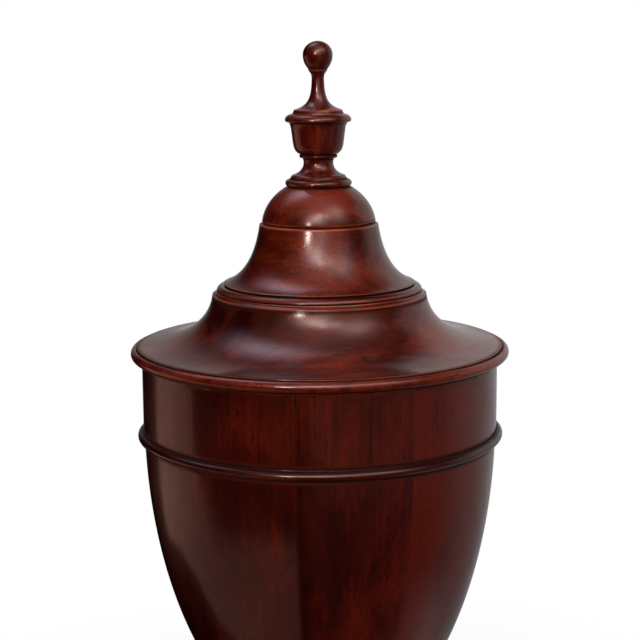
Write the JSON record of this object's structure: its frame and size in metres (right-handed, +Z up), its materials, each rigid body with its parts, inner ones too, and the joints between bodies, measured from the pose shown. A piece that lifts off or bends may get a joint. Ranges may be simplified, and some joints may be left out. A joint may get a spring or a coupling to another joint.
{
  "type": "knife urn",
  "caption": "Turned and staved mahogany urn for table cutlery: a stepped domed lid with a finial rises on a square column over pierced tiers, on a socle and square plinth.",
  "frame": {"origin": "middle of the plinth's underside", "axes": "+Z up the urn's axis to the finial, -Y to the front, +X to the right as seen from the front"},
  "size_m": [0.2651, 0.2652, 0.6234],
  "materials": {
    "lid_wood": "polished red-brown mahogany, turned",
    "body_wood": "polished red-brown mahogany staves",
    "base_wood": "polished red-brown mahogany",
    "inner_wood": "waxed plain mahogany",
    "boxwood": "waxed boxwood",
    "brass": "aged brass",
    "steel": "dull iron"
  },
  "bodies": {
    "urn": {"plinth_block": "base_wood", "plinth_cap": "base_wood", "plinth_screw": "steel", "socle": "base_wood", "body_boss": "inner_wood", "stave_1": "body_wood", "stave_2": "body_wood", "stave_3": "body_wood", "stave_4": "body_wood", "stave_5": "body_wood", "stave_6": "body_wood", "stave_7": "body_wood", "stave_8": "body_wood", "stave_9": "body_wood", "stave_10": "body_wood", "body_bead": "body_wood", "tier_ledge": "inner_wood", "tier_low": "inner_wood", "riser_mid": "inner_wood", "tier_mid": "inner_wood", "line_mid": "boxwood", "riser_top": "inner_wood", "tier_top": "inner_wood", "line_top": "boxwood", "well_front": "inner_wood", "well_back": "inner_wood", "well_left": "inner_wood", "well_right": "inner_wood", "column_collar": "inner_wood", "collar_plate": "brass", "collar_screws": "brass"},
    "lid": {"lid_column": "inner_wood", "column_screw": "steel", "column_foot": "inner_wood", "foot_pin": "boxwood", "catch_pin": "steel", "lid_lip": "inner_wood", "lid_skirt": "lid_wood", "lid_rim": "lid_wood", "lid_bead": "lid_wood", "lid_bell": "lid_wood", "lid_dome": "lid_wood", "finial_vase": "lid_wood", "finial_knob": "lid_wood"},
    "catch": {"catch_lever": "brass", "catch_spring": "brass"}
  },
  "joints": [
    {"name": "lid_rise", "type": "slide", "parent": "urn", "child": "lid", "axis": [0, 0, 1], "range_m": [0, 0.18]},
    {"name": "catch_press", "type": "hinge", "parent": "lid", "child": "catch", "pos_m": [0, -0.0098, 0.2305], "axis": [-1, 0, 0], "range_deg": [0, 8], "stiffness_Nm_per_rad": 0.05, "springref_deg": 8}
  ]
}
